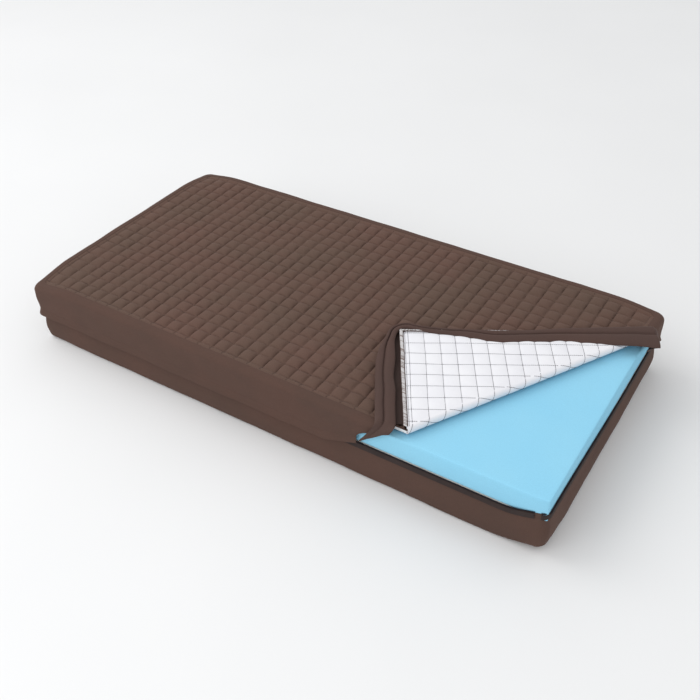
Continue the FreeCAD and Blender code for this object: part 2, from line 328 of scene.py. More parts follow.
def backing_level(x, y):
    """The underside of the backing: it swells down between its stitched lines."""
    fade = smooth((np.abs(beyond(x, y)) - 1.0) / 14.0) * smooth(seam_distance(x, y) / 12.0)
    u, v = wander(x, y)
    fullness = (1 - line_nearness(u) ** 2.6) * (1 - line_nearness(v) ** 3.0)
    swell = (0.5 + BACKING_PUFF * fullness + 0.4 * ripple(x, y, 90, 8)) * fade
    return BACKING_BOTTOM + 0.5 - swell - droop(x, y)


def wadding_bottom(x, y):
    return backing_level(x, y) + 0.65


def backing_top(x, y):
    return backing_level(x, y) + 0.6


def graded(limit, fractions):
    """Grid lines that crowd round each stitched line, out to the seam."""
    lines = int(limit // QUILT_PITCH)
    values = [(k + f) * QUILT_PITCH for k in range(-lines, lines) for f in fractions]
    values.append(lines * QUILT_PITCH)
    tail = [lines * QUILT_PITCH + t * (limit - lines * QUILT_PITCH) for t in (0.3, 0.6, 0.85, 1.0)]
    return np.array([-t for t in reversed(tail)] + values + tail)


def panel_plan(side):
    """The panel's plan as a mesh, cut off at the fold. side is -1 for the main part, 1 for the flap."""
    xs = graded(SEAM_X, FRACTIONS_ACROSS)
    ys = graded(SEAM_Y, FRACTIONS_ALONG)
    if side > 0:
        xs = xs[xs > FOLD_POINT[0] - QUILT_PITCH]
        ys = ys[ys < HALF_WIDTH - 60]
    grid_x, grid_y = np.meshgrid(xs, ys, indexing="ij")
    points = np.column_stack([grid_x.ravel(), grid_y.ravel(), np.zeros(grid_x.size)])
    mesh = bpy.data.meshes.new("plan")
    mesh.from_pydata(points.tolist(), [], grid_faces(len(xs), len(ys)))
    work = bmesh.new()
    work.from_mesh(mesh)
    cut = FOLD_POINT + FOLD_OUT * (FOLD_GAP * side)
    bmesh.ops.bisect_plane(
        work, geom=work.verts[:] + work.edges[:] + work.faces[:], dist=0.02,
        plane_co=(cut[0], cut[1], 0), plane_no=FOLD_OUT * side, clear_inner=True,
    )
    bmesh.ops.delete(work, geom=[v for v in work.verts if not v.link_faces], context="VERTS")
    work.to_mesh(mesh)
    work.free()
    flat = np.array([v.co[:2] for v in mesh.vertices])
    faces = [tuple(p.vertices) for p in mesh.polygons]
    bpy.data.meshes.remove(mesh)
    return flat, faces


def slab(name, plan, top, bottom, materials, joints=()):
    """A closed layer of the panel between two surfaces, laid back by its joints."""
    flat, faces = plan
    x, y = flat.T
    high, low = top(x, y), bottom(x, y)
    x, y = rounded_plan(x, y)
    upper = laid_back(np.column_stack([x, y, high]), *joints)
    lower = laid_back(np.column_stack([x, y, low]), *joints)
    return closed_skin(name, upper, lower, faces, materials)


def stitch_places(side, pitch):
    """Where the stitches of the quilting are in plan, and which way each runs."""
    places = []
    ways = []
    limits = (SEAM_X, SEAM_Y)
    for axis in (0, 1):
        across, along = limits[axis], limits[1 - axis]
        lines = int(across // QUILT_PITCH)
        run = np.arange(-along + 3, along - 3, pitch)
        for line in range(-lines, lines + 1):
            spot = np.zeros((len(run), 2))
            spot[:, axis] = line * QUILT_PITCH
            spot[:, 1 - axis] = run
            way = np.zeros((len(run), 3))
            way[:, 1 - axis] = 1.0
            places.append(spot)
            ways.append(way)
    places = np.vstack(places)
    ways = np.vstack(ways)
    keep = beyond(places[:, 0], places[:, 1]) * side > 2.5
    places, ways = places[keep], ways[keep]
    x, y = places.T
    u, v = wander(x, y)
    return np.column_stack([2 * x - u, 2 * y - v]), ways


def quilting_stitches(name, side, level, up, pitch, size, materials, joints=()):
    places, ways = stitch_places(side, pitch)
    x, y = places.T
    step = 1.0
    rise = (level(x + ways[:, 0] * step, y + ways[:, 1] * step)
            - level(x - ways[:, 0] * step, y - ways[:, 1] * step)) / (2 * step)
    ways = ways + np.column_stack([np.zeros_like(x), np.zeros_like(x), rise])
    centres = np.column_stack([x, y, level(x, y)])
    lines = (laid_back(p, *joints) for p in (centres, centres + ways, centres + [0, 0, up]))
    return beads(name, *lines, size, materials)


# ---------------------------------------------------------------- pieces that run round the mattress

def ring_xy(where, inset, radius):
    """Plan of a rounded rectangle inset from the outer face.

    where runs clockwise from the near right corner: even whole numbers start the near, left, far
    and right sides, and odd ones start the corners between them.
    """
    where, inset, radius = np.broadcast_arrays(np.mod(where, 8.0), inset, radius)
    straight_x = HALF_LENGTH - inset - radius
    straight_y = HALF_WIDTH - inset - radius
    part = np.floor(where).astype(int)
    share = where - part
    corner_x = np.array([1, -1, -1, 1])
    corner_y = np.array([-1, -1, 1, 1])
    start = (part // 2) % 4
    following = (start + 1) % 4
    out_x = np.array([0, -1, 0, 1])[start]
    out_y = np.array([-1, 0, 1, 0])[start]
    line_x = (corner_x[start] * (1 - share) + corner_x[following] * share) * straight_x + out_x * radius
    line_y = (corner_y[start] * (1 - share) + corner_y[following] * share) * straight_y + out_y * radius
    angle = np.radians(np.array([-90, 180, 90, 0])[start] - 90.0 * share)
    arc_x = corner_x[following] * straight_x + radius * np.cos(angle)
    arc_y = corner_y[following] * straight_y + radius * np.sin(angle)
    on_corner = part % 2 == 1
    return np.where(on_corner, arc_x, line_x), np.where(on_corner, arc_y, line_y)


def side_where(side, value):
    """The ring's where at an x on the near side or a y on the right side."""
    if side == "near":
        straight = HALF_LENGTH - CORNER_RADIUS
        return (straight - value) / (2 * straight)
    straight = HALF_WIDTH - CORNER_RADIUS
    return 6.0 + (straight - value) / (2 * straight)


def ring_stations(start, end, step=9.0, corner_steps=9):
    """Places along the ring, about a step apart on the sides and closer round the corners."""
    lengths = {0: 2 * HALF_LENGTH, 2: 2 * HALF_WIDTH, 4: 2 * HALF_LENGTH, 6: 2 * HALF_WIDTH}
    values = []
    for part in range(math.floor(start), math.ceil(end)):
        low, high = max(start, part), min(end, part + 1)
        if part % 2:
            count = corner_steps
        else:
            count = max(2, round(lengths[part % 8] * (high - low) / step))
        values.extend(np.linspace(low, high, count, endpoint=False))
    values.append(end)
    return np.array(values)


def ring_length(where):
    """Distance along the ring in millimetres, for folds and creases that follow it."""
    corners = [0, 1, 2, 3, 4, 5, 6, 7, 8]
    arc = CORNER_RADIUS * math.pi / 2
    lengths = [2 * HALF_LENGTH, arc, 2 * HALF_WIDTH, arc] * 2
    marks = np.concatenate([[0], np.cumsum(lengths)])
    return np.interp(where, corners, marks)


def corner_nearness(x, y, reach):
    """1 at a vertical corner, fading to 0 at reach along the sides."""
    distance = np.hypot(HALF_LENGTH - np.abs(x), HALF_WIDTH - np.abs(y))
    return smooth(1 - distance / reach)


# ---------------------------------------------------------------- the side bands

SHOULDER_FLAT = SEAM_INSET - SHOULDER_RADIUS
SHOULDER_BEND = SHOULDER_RADIUS * math.pi / 2
SIDE_TOP = PANEL_TOP - SHOULDER_RADIUS
BAND_DROP = SHOULDER_FLAT + SHOULDER_BEND + SIDE_TOP - PLACKET_BOTTOM


def band_rows():
    """Distances down the band from its seam, close together where it is curved or stitched."""
    bent = SHOULDER_FLAT + SHOULDER_BEND
    rows = [0.0, 0.8, 1.8, 3.2, 5.5, *np.arange(SHOULDER_FLAT, bent, 2.2)]
    rows += list(np.arange(bent, BAND_DROP - HEM - 2, 4.0))
    hem = [BAND_DROP - up for up in (HEM + 1.2, HEM, HEM - 1.2, 0.7 * HEM, 0.4 * HEM, 2.0, 0.7, 0)]
    return np.array(rows + hem)


def upper_profile(s):
    """Depth from the outer face, height, and the outward way at a distance s down from the seam."""
    angle = np.clip((s - SHOULDER_FLAT) / SHOULDER_RADIUS, 0, math.pi / 2)
    depth = np.where(s < SHOULDER_FLAT, SEAM_INSET - s, SHOULDER_RADIUS * (1 - np.sin(angle)))
    drop = np.maximum(s - SHOULDER_FLAT - SHOULDER_BEND, 0)
    height = PANEL_TOP - SHOULDER_RADIUS * (1 - np.cos(angle)) - drop
    return depth, height, -np.sin(angle), np.cos(angle)


def band_relief(length, s):
    """How far the band stands proud: its sewn edge, soft creases, and the stitched line of its hem."""
    seam = -0.9 * np.exp(-(s / 0.9) ** 2) + 0.25 * np.exp(-((s - 2.2) / 1.5) ** 2)
    loose = smooth((s - 4) / 24)
    creases = 1.1 * ripple(length, 2.4 * s, 190, 21) + 0.55 * ripple(length, 1.5 * s, 62, 22)
    up = BAND_DROP - s
    line = -0.5 * np.exp(-((HEM - up) / 1.1) ** 2)
    edge = -0.6 * np.exp(-(up / 0.9) ** 2) + 2.4 * smooth((16 - up) / 16)
    return seam + creases * loose + line + edge


def corner_round(inset):
    """The plan radius of a corner, from the outer face in to the panel."""
    return CORNER_RADIUS + (PANEL_CORNER - CORNER_RADIUS) * np.clip(inset / SEAM_INSET, 0, 1)


def near_hem_height(x):
    """The near band's lower edge lifts as it comes to the folded corner."""
    return np.interp(x, [110, 160, 202, 231, 245], [PLACKET_BOTTOM, PLACKET_BOTTOM + 1.5, 79, 90, 97])


def near_end_x(height):
    """Where the near band ends: it turns back along a slanting fold below the shoulder."""
    return np.interp(height, [90, 99, 141, PANEL_TOP - 1, PANEL_TOP + 5], [229, 234, 285, 303, 312])


def right_end_y(height):
    """The same at the right end."""
    return np.interp(height, [90, 112, 141, PANEL_TOP - 1, PANEL_TOP + 5], [247, 222, 206, 199, 197])


def right_hem_height(y):
    """The right band's lower edge lifts too."""
    return np.interp(y, [230, 262, 290], [100, 90, 80])


def main_band_points(where, s, length, inner):
    where, s = np.broadcast_arrays(where, s)
    depth, height, out_depth, out_height = upper_profile(s)
    start, end = where[:1], where[-1:]
    near_end = side_where("near", near_end_x(height))
    right_end = side_where("right", right_end_y(height))
    close = np.where(where < 0.5, (0.5 - where) / (0.5 - start), 0)
    moved = np.where(where < 0.5, 0.5 - close * (0.5 - near_end), where)
    far = np.where(where > 6.0, (where - 6.0) / (end - 6.0), 0)
    moved = np.where(where > 6.0, 6.0 + far * (right_end - 6.0), moved)
    x, y = ring_xy(moved, 0.0, CORNER_RADIUS)
    hem = np.where(moved < 0.5, near_hem_height(x), PLACKET_BOTTOM)
    hem = np.where(moved > 5.5, np.minimum(right_hem_height(y), 100.0), hem)
    hem = np.where((moved > 5.0) & (moved <= 6.0), PLACKET_BOTTOM + 14 * smooth(moved - 5.0), hem)
    side = np.minimum(height, SIDE_TOP)
    height = height - side + SIDE_TOP - (SIDE_TOP - side) * (SIDE_TOP - hem) / (SIDE_TOP - PLACKET_BOTTOM)
    proud = band_relief(length, s)
    thick = np.where(s > BAND_DROP - HEM, CLOTH * 1.7, CLOTH)
    offset = proud - thick if inner else proud
    depth = depth + out_depth * offset
    x, y = ring_xy(moved, depth, corner_round(depth))
    upright = smooth((height - PLACKET_BOTTOM) / (SIDE_TOP - PLACKET_BOTTOM))
    return np.stack([x, y, height + out_height * offset - droop(x, y) * upright], axis=-1)


def upper_band(material):
    stations = ring_stations(side_where("near", 305), side_where("right", 199), step=8.0)
    where = stations[:, None]
    length = ring_length(stations)[:, None]
    rows = band_rows()[None, :]
    outer = main_band_points(where, rows, length, False)
    inner = main_band_points(where, rows, length, True)
    band = cloth_grid("upper_band", outer, inner, [material])
    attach(band, "root")
    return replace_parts(band, "upper_band_near", "upper_band_right", "upper_band_far", "upper_band_left")


RIM_RISE = 20.0             # at the open corner
RIM_REACH = {"near": 100.0, "right": 420.0}     # how far along each side it starts


def rim_rise(x, y):
    """The lower band stands up at the open corner, where nothing holds it down."""
    along_near = np.where((y < 0) & (np.abs(HALF_WIDTH + y) < 30), HALF_LENGTH - x, 0)
    along_right = np.where((x > 0) & (np.abs(HALF_LENGTH - x) < 30), HALF_WIDTH + y, 0)
    near = RIM_RISE * smooth(1 - along_near / RIM_REACH["near"]) ** 1.3
    right = RIM_RISE * smooth(1 - along_right / RIM_REACH["right"])
    on_near = along_near > along_right
    corner = (x > HALF_LENGTH - 140) & (y < 140)
    return np.where(corner | (along_right > 0) & (y < 140), np.where(on_near, near, right), 0.0)


def lifted_corner(x, y):
    """The base's corners are rounded underneath, most of all at the open corner."""
    return corner_nearness(x, y, 110.0) * np.where((x > 0) & (y < 0), 1.0, 0.1)


def lower_points(where, u, length, offset):
    """u is 0 at the rim, 1 where the side starts to turn under, and 2 on the floor."""
    where, u = np.broadcast_arrays(where, u)
    x, y = ring_xy(where, LOWER_INSET, CORNER_RADIUS)
    under = 7.0 + 24.0 * lifted_corner(x, y) + 1.5 * ripple(length, u, 240, 34)
    rim = LOWER_TOP + rim_rise(x, y)
    side = np.clip(u, 0, 1)
    turn = np.clip(u - 1, 0, 1) * math.pi / 2
    height = np.where(u <= 1, rim + (under - rim) * side, under * (1 - np.sin(turn)) + 0.35 * np.sin(turn))
    depth = LOWER_INSET + under * (1 - np.cos(turn))
    swell = 2.6 * smooth((side - 0.3) / 0.4) * smooth((1.05 - side) / 0.3)
    bulge = (swell - 1.6 * smooth((0.4 - side) / 0.3)) * (u <= 1)
    creases = 0.9 * ripple(length, 90 * u, 210, 31) + 0.45 * ripple(length, 60 * u, 70, 32)
    loose = smooth(u / 0.3) * smooth((2 - u) / 0.6)
    hem = -0.5 * np.exp(-((u - 0.16) / 0.015) ** 2)
    proud = bulge + creases * loose + hem + offset
    depth = depth - proud * np.cos(turn)
    height = height + np.where(u > 1, -offset * np.sin(turn), 0)
    x, y = ring_xy(where, depth, np.maximum(7.0, CORNER_RADIUS - 0.3 * depth))
    return np.stack([x, y, height], axis=-1)


LOWER_ROWS = np.array([0.0, 0.012, 0.05, 0.1, 0.145, 0.16, 0.175, 0.25, 0.35, 0.46, 0.57, 0.68, 0.79, 0.9,
                       1.0, 1.2, 1.4, 1.6, 1.8, 2.0])


def lower_band(material):
    stations = ring_stations(0.0, 8.0, step=10.0, corner_steps=12)[:-1]
    where = stations[:, None]
    length = ring_length(stations)[:, None]
    outer = lower_points(where, LOWER_ROWS[None, :], length, 0.0)
    inner = lower_points(where, LOWER_ROWS[None, :], length, -CLOTH)
    band = cloth_grid("lower_band", outer, inner, [material], wrap=True)
    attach(band, "root")
    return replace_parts(band, "lower_band_near", "lower_band_right", "lower_band_far", "lower_band_left")


def base_cover(material):
    stations = ring_stations(0.0, 8.0, step=40.0, corner_steps=12)[:-1]
    rim = lower_points(stations[:, None], np.array([[2.0]]), ring_length(stations)[:, None], 0.0)[:, 0]
    count = len(rim)
    low, high = (np.column_stack([rim[:, :2], np.full(count, level)]) for level in (0.0, CLOTH))
    cover = closed_skin("base_cover", high, low, [tuple(range(count))], [material])
    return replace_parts(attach(cover, "root"), "base_panel")


# ---------------------------------------------------------------- foam

FOAM_EDGE = 2.2             # radius of a block's edges
FOAM_CORNER = 3.5           # and of its upright corners


def foam(name, node, bottom, top, swell, material):
    """A block with nearly sharp edges. Its near face swells a little where the cover is open."""
    stations = ring_stations(0.0, 8.0, step=14.0, corner_steps=4)[:-1]
    where = stations[:, None]
    angles = np.linspace(0, math.pi / 2, 4)
    late, early = FOAM_EDGE * (1 - np.sin(angles)), FOAM_EDGE * (1 - np.cos(angles))
    rows = bottom + np.array([5.0, 9.0, 14.0, 20.0, 28.0, (top - bottom) * 0.8])
    depth = FOAM_INSET + np.array([*late, *(0 * rows), *early, 8, 30, 90, 180, HALF_WIDTH - 1.5 - FOAM_INSET])
    height = np.array([*(bottom + early), *rows, *(top - late), *[top] * 5])
    depth, height = depth[None, :], height[None, :] + 0 * where
    x, y = ring_xy(where, depth, FOAM_CORNER)
    if bottom == FOAM_BOTTOM:
        radius = 26.0 * lifted_corner(x, y)
        into = np.clip(radius - (height - bottom), 0, radius)
        depth = depth + radius - np.sqrt(np.maximum(radius ** 2 - into ** 2, 0))
        x, y = ring_xy(where, depth, FOAM_CORNER + 0.5 * radius)
    inside = smooth((x - 200) / 120) * smooth((HALF_LENGTH - x) / 40)
    near = smooth((-y - HALF_WIDTH + FOAM_INSET + 40) / 40)
    y = y - swell * inside * near * smooth((height - bottom) / 30)
    rise = smooth((height - bottom) / 20)
    height = height + (0.4 * ripple(x, y, 300, 41) - droop(x, y) * (top == FOAM_TOP)) * rise
    points = np.stack([x, y, height], axis=-1)
    rows, columns = points.shape[:2]
    faces = grid_faces(rows, columns, wrap=True)
    faces.append(tuple(row * columns for row in range(rows)))
    faces.append(tuple(row * columns + columns - 1 for row in reversed(range(rows))))
    block = mesh_object(name, points.reshape(-1, 3), faces, [material], sharp=35.0)
    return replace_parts(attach(block, "root"), node)


# ---------------------------------------------------------------- the zip on the lower band

ZIP_TURN = (COIL_TOP - COIL_BOTTOM, 1.8, 2.2)       # length, width and height of one turn of the coil
ALL_ROUND = (0.01, 7.99)                            # from the open corner round to it again


def tape_run(name, node, start, end, low, high, inset, lift, material):
    """A length of zip tape on the inside of a band, and the CAD node that it replaces."""
    stations = ring_stations(start, end, step=10.0, corner_steps=10)
    where = stations[:, None]
    share = np.array([[0.0, 0.25, 0.5, 0.75, 1.0]])
    x, y = ring_xy(where + 0 * share, inset, CORNER_RADIUS)
    height = low + (high - low) * share + rim_rise(x, y) * lift
    skins = []
    for depth in (inset + 0.05, inset + 0.5):
        x, y = ring_xy(where + 0 * share, depth, CORNER_RADIUS - 3)
        skins.append(np.stack([x, y, height], axis=-1))
    tape = cloth_grid(name, skins[0], skins[1], [material])
    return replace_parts(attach(tape, "root"), node)


def coil_run(name, node, start, end, middle, inset, lift, material):
    """A row of the zip: a close run of small turns of nylon."""
    spread = np.linspace(start, end, 4001)
    where = np.interp(np.arange(ring_length(start), ring_length(end), 2.4), ring_length(spread), spread)
    x, y = ring_xy(where, inset, CORNER_RADIUS - 3)
    nx, ny = ring_xy(where + 0.001, inset, CORNER_RADIUS - 3)
    height = middle + rim_rise(x, y) * lift
    centres = np.column_stack([x, y, height])
    along = unit(np.column_stack([nx - x, ny - y, 0 * x]))
    teeth = beads(name, centres, centres + [0, 0, 1] + 0.25 * along, centres + along, ZIP_TURN, [material])
    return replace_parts(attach(teeth, "root"), node)


def zips(looks):
    """The lower rows go all the way round; the upper ones stop at the folded corner."""
    near, right = side_where("near", 226.0), side_where("right", 240.0)
    inset = COIL_INSET + 0.9
    tape_run("zip_tape_below", "zip_tape_lower", *ALL_ROUND, TAPE_BOTTOM, LOWER_TOP, TAPE_INSET, True,
             looks["tape"])
    coil_run("zip_coil_below", "zip_coil_lower", *ALL_ROUND, (COIL_BOTTOM + COIL_TOP) / 2, inset, True,
             looks["coil"])
    low, high = cad_box("zip_coil_upper")[0][2], cad_box("zip_coil_upper")[1][2]
    tape_run("zip_tape_above", "zip_tape_upper", near, right, high, cad_box("zip_tape_upper")[1][2],
             TAPE_INSET - 2.5, False, looks["tape"])
    coil_run("zip_coil_above", "zip_coil_upper", near, right, (low + high) / 2, inset - 1.5, False,
             looks["coil"])


def seam_binding(name, node, start, end, depths, height, material):
    """The thread that binds a seam's raw edges inside the cover."""
    stations = ring_stations(start, end, step=12.0, corner_steps=10)
    where = stations[:, None]
    depth = np.array([depths])
    x, y = ring_xy(where, depth, np.maximum(6.0, CORNER_RADIUS - 0.5 * depth))
    level = height - droop(x, y) * (height > LOWER_TOP)
    skins = [np.stack([x, y, level - less], axis=-1) for less in (0.0, 1.0)]
    binding = cloth_grid(name, skins[0], skins[1], [material])
    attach(binding, "root")
    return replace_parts(binding, node)


# ---------------------------------------------------------------- the folded corner

# A cuff's section from its outer edge in to its free edge: share of its width, and height
CUFF_SECTION = ((0.16, -1.2), (0.05, 0.2), (0.0, 4.6), (0.035, 8.6), (0.12, 11.6), (0.24, 12.4),
                (0.36, 11.4), (0.42, 8.6), (0.45, 8.8), (0.52, 12.2), (0.66, 13.6), (0.82, 13.0),
                (0.94, 11.4), (0.985, 9.4), (1.0, 7.4))
# Along the seam from the long leg (negative) round the corner to the short one: distances out from the seam
CUFF_PLACES = (-260, -150, -80, -45, -18, 0, 15, 32, 60, 95, 180, 250, 310, 400, 480)
CUFF_OUTER = (56, 55, 53, 46, 35, 27, 21, 15, 10, 7, 4, 7, 14, 20, 25)
CUFF_INNER = (18, 18, 17, 17, 15, 10, 5, -1, -8, -15, -33, -31, -29, -36, -44)
CUFF_LIFT = (0, 0, 0, 0, 0, 0, 0, 0.5, 1, 1, 1, 1, 1, 1, 1)
CORNER_ARC = PANEL_CORNER * math.pi / 4
# Two lines across each leg's cloths, as (out, height) on the flap, where the cloths were to go over from one
# body to the next;
# blend_at works out where they lie but shares nothing. The short leg's first line lies past its cloth's edge.
BAND_TURN = {"long": ((13.0, 0.0), (27.0, 0.0)), "short": ((60.0, 0.0), (64.0, 0.0))}
HEM_TURN = {"long": ((30.0, 3.2), (30.0, 6.2)), "short": ((10.0, 4.4), (10.0, 4.5))}
LEG_TAPE_HEIGHTS = (5.4, 4.9)                   # of its two faces, above the flap's folded-over face
LEG_COIL_HEIGHT, LEG_COIL_INSET = 5.2, 16.2     # inset from the cuff's outer edge
CLOSING_PROUD = 4.5         # the closed corner's band stands this far outside the plain band's face
CLOSING_TRAVEL = 50.0       # how far in it is drawn, out of sight in the foam
CLOSING_KEEP = 0.9
CLOSING_WAY = unit(np.array([1.0, -1.0, 1.2]))


def seam_path(s):
    """Closed plan of the flap's seam at a distance s past its corner, and the way out from it."""
    turn = np.clip(s / CORNER_ARC, -1, 1)
    angle = math.pi / 4 * (turn - 1)
    out_x, out_y = np.cos(angle), np.sin(angle)
    x = SEAM_X - PANEL_CORNER + np.minimum(s + CORNER_ARC, 0) + PANEL_CORNER * out_x
    y = -SEAM_Y + PANEL_CORNER + np.maximum(s - CORNER_ARC, 0) + PANEL_CORNER * out_y
    return x, y, out_x, out_y


def cuff_at(s, out, height):
    """A point at rest: s along the seam, out from it, and above the flap's folded-over face."""
    s, out, height = np.broadcast_arrays(s, out, height)
    x, y, out_x, out_y = seam_path(s)
    closed = np.stack([x + out_x * out, y + out_y * out, PANEL_TOP - height], axis=-1)
    return laid_back(closed, "corner_fold")


def through(points, count):
    """A smooth curve through these points, at count places."""
    points = np.array(points, dtype=float)
    padded = np.vstack([2 * points[0] - points[1], points, 2 * points[-1] - points[-2]])
    places = np.linspace(0, len(points) - 1 - 1e-9, count)
    part = places.astype(int)
    t = (places - part)[:, None]
    a, b, c, d = (padded[part + k] for k in range(4))
    square, cube = 2 * a - 5 * b + 4 * c - d, 3 * b - a - 3 * c + d
    return 0.5 * (2 * b + (c - a) * t + square * t ** 2 + cube * t ** 3)


def eased(s, values):
    """A width that changes smoothly along the cuff."""
    spread = np.array([-14.0, -7.0, 0.0, 7.0, 14.0])
    return np.mean([np.interp(s + shift, CUFF_PLACES, values) for shift in spread], axis=0)


def cuff_section(s, skin):
    """Distances out and heights across the cuff at s. skin is 0 for its face and 1 for its lining."""
    curve = through(CUFF_SECTION, 46)
    share, height = curve[None, :, 0], curve[None, :, 1]
    outer, inner, lift = (eased(s, values) for values in (CUFF_OUTER, CUFF_INNER, CUFF_LIFT))
    width = outer - inner + 1.5 * ripple(s, 0 * s, 85, 51)
    loose = smooth(share * 3)
    out = outer - width * share + 0.8 * ripple(s, 40 * share, 70, 52) * loose
    high = height + lift * loose + 1.0 * ripple(s, 60 * share, 95, 53) * loose
    along_out = np.gradient(out, axis=1)
    along_up = np.gradient(high, axis=1)
    length = np.hypot(along_out, along_up)
    thickness = skin * CLOTH
    return out - along_up / length * thickness, high + along_out / length * thickness


def leg_span(leg):
    """Where a leg's cuff starts and ends, as distances past the corner."""
    low, high = closed_box("flap_band_" + leg, "corner_fold", "band_fold_" + leg)
    if leg == "long":
        return low[0] - SEAM_X + PANEL_CORNER - CORNER_ARC, -CORNER_ARC
    return CORNER_ARC, high[1] + SEAM_Y - PANEL_CORNER + CORNER_ARC


def cuff_cloths(name, s, looks):
    """The cuff's lower layer, from the seam outwards, and the hem that comes back over it."""
    s = s[:, None]
    share = np.array([0, 0.03, 0.07, 0.13, 0.22, 0.32, 0.42, 0.52, 0.62, 0.72, 0.82, 0.91, 1.0])[None, :]
    out = share * (eased(s, CUFF_OUTER) * 0.92)
    ridge = 1.4 * np.exp(-(out / 1.2) ** 2)
    low = ridge - 0.6 * smooth(share * 2)
    under = cuff_at(s, out, low)
    # the lower layer takes the darker copy of the cuff's cloth: painted shade where it lies under the hem
    lower = cloth_grid("cuff_band_" + name, under, cuff_at(s, out, low + CLOTH), [looks["cuff_painted_shade"]])
    face = cuff_at(s, *cuff_section(s, 0))
    lining = cuff_at(s, *cuff_section(s, 1))
    hem = cloth_grid("cuff_hem_" + name, face, lining, [looks["cuff"]])
    return lower, hem


def blend_at(piece, s, turn):
    """Bake a cuff's cloth in place. It works out the line that turn gives at s along the seam, but shares the
    cloth with no body.
    """
    start, end = ([float(v) * MM for v in cuff_at(s, out, height)] for out, height in turn)
    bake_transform(piece)


def leg_cuff(leg, looks):
    """A leg's cuff, which goes over from the flap to the leg's band, and from that to its hem."""
    start, end = leg_span(leg)
    middle = (start + end) / 2
    lower, hem = cuff_cloths(leg, np.linspace(start, end, 70), looks)
    blend_at(lower, middle, BAND_TURN[leg])
    blend_at(hem, middle, HEM_TURN[leg])
    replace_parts(lower, "flap_shoulder_" + leg, "flap_band_" + leg)
    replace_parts(hem, "flap_hem_" + leg)


def leg_zip(leg, looks):
    """The zip's tape and row on a leg, out of sight between the cuff's layers."""
    start, end = leg_span(leg)
    s = np.linspace(start + 4, end - 4, 60)[:, None]
    outer = eased(s, CUFF_OUTER)
    across = np.linspace(3.5, 15.0, 5)[None, :]
    skins = [cuff_at(s, outer - across, height) for height in LEG_TAPE_HEIGHTS]
    tape = cloth_grid("leg_zip_tape_" + leg, skins[0], skins[1], [looks["tape"]])
    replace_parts(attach(tape, "flap_hem_" + leg), "flap_zip_tape_" + leg)
    s = np.arange(start + 4, end - 4, 2.4)
    out, height = eased(s, CUFF_OUTER) - LEG_COIL_INSET, LEG_COIL_HEIGHT
    lines = cuff_at(s, out, height), cuff_at(s + 0.25, out - 1, height), cuff_at(s, out, height + 1)
    teeth = beads("leg_zip_coil_" + leg, *lines, ZIP_TURN, [looks["coil"]])
    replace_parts(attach(teeth, "flap_hem_" + leg), "flap_zip_coil_" + leg)


def corner_cuff(looks):
    """The cuff where it turns the flap's corner, carried by the flap."""
    s = np.linspace(-CORNER_ARC - 0.4, CORNER_ARC + 0.4, 22)
    for piece in cuff_cloths("corner", s, looks):
        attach(piece, "flap")
        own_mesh(piece)


def flow(starts, start_way, ends, end_way, reach, steps=26):
    """Cloth that leaves one line one way and reaches another line the other way."""
    t = np.linspace(0, 1, steps)[:, None, None]
    first, last = np.asarray(start_way) * reach, np.asarray(end_way) * reach
    return ((2 * t ** 3 - 3 * t ** 2 + 1) * starts + (t ** 3 - 2 * t ** 2 + t) * first
            + (3 * t ** 2 - 2 * t ** 3) * ends + (t ** 3 - t ** 2) * last)


def near_ends(start, out, proud):
    """The slanting fold at the end of the near band."""
    level = 89.0 + 59.0 * np.clip((eased(start, CUFF_OUTER) - out) / 38.0, 0, 1)
    return np.column_stack([near_end_x(level) + 1.5, -HALF_WIDTH - 1.8 - proud, level])


def right_ends(start, out, proud):
    """The end of the right band."""
    inner = eased(start, CUFF_INNER)
    share = (out - inner) / (eased(start, CUFF_OUTER) - inner)
    level = np.interp(share, [0, 0.15, 1], [138.0, 122.0, 100.0])
    across = np.interp(share, [0, 0.15, 1], [160.0, 190.0, 262.0])
    return np.column_stack([HALF_LENGTH + 1.6 + proud, across, level])


def drape(side, start, ahead, ends_at, end_way, reach, material):
    """The cuff runs on from a leg, down over the shoulder on that side, to the end of the band there."""
    way = cuff_at(start + ahead, 0, 0) - cuff_at(start, 0, 0)
    skins = []
    for skin in (0, 1):
        out, high = cuff_section(np.array([[start]]), skin)
        starts = cuff_at(np.array([[start]]), out, high)[0]
        proud = (high[0] - 4.0) / 3.0 - skin * CLOTH
        skins.append(flow(starts, way, ends_at(start, out[0], proud), end_way, reach))
    piece = cloth_grid("cuff_drape_" + side, skins[0], skins[1], [material])
    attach(piece, "root")
    return piece


def drapes(looks):
    near = drape("near", leg_span("long")[0] + 2.0, -1.0, near_ends, (-0.42, 0.12, -0.9), 62.0,
                 looks["cuff"])
    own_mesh(near)
    closing_band(looks["band"])
    right = drape("right", leg_span("short")[1] - 2.0, 1.0, right_ends, (0.05, 0.25, -0.95), 42.0,
                  looks["cuff"])
    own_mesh(right)


def closing_band(material):
    """A stand-in for the closed corner's band, drawn pushed in along a slant so that it lies hidden in the
    foam.
    """
    stations = ring_stations(side_where("right", 247), 8 + side_where("near", 222), step=12.0)
    rows = band_rows()[None, :]
    depth, height, out_depth, out_height = upper_profile(rows)
    anchor = np.array([HALF_LENGTH, -HALF_WIDTH, PANEL_TOP])
    anchor += CLOSING_WAY * CLOSING_TRAVEL * CLOSING_KEEP / (1 - CLOSING_KEEP)
    skins = []
    for thickness in (0.0, CLOTH):
        proud = CLOSING_PROUD * smooth(rows / 24.0) - thickness
        inset = depth + out_depth * proud
        x, y = ring_xy(stations[:, None], inset, corner_round(inset))
        closed = np.stack([x, y, height + out_height * proud + 0 * x], axis=-1)
        reach = (closed - anchor) @ CLOSING_WAY
        skins.append(closed + (reach / CLOSING_KEEP - reach)[..., None] * CLOSING_WAY)
    piece = cloth_grid("closing_band", skins[0], skins[1], [material])
    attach(piece, "root")
    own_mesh(piece)


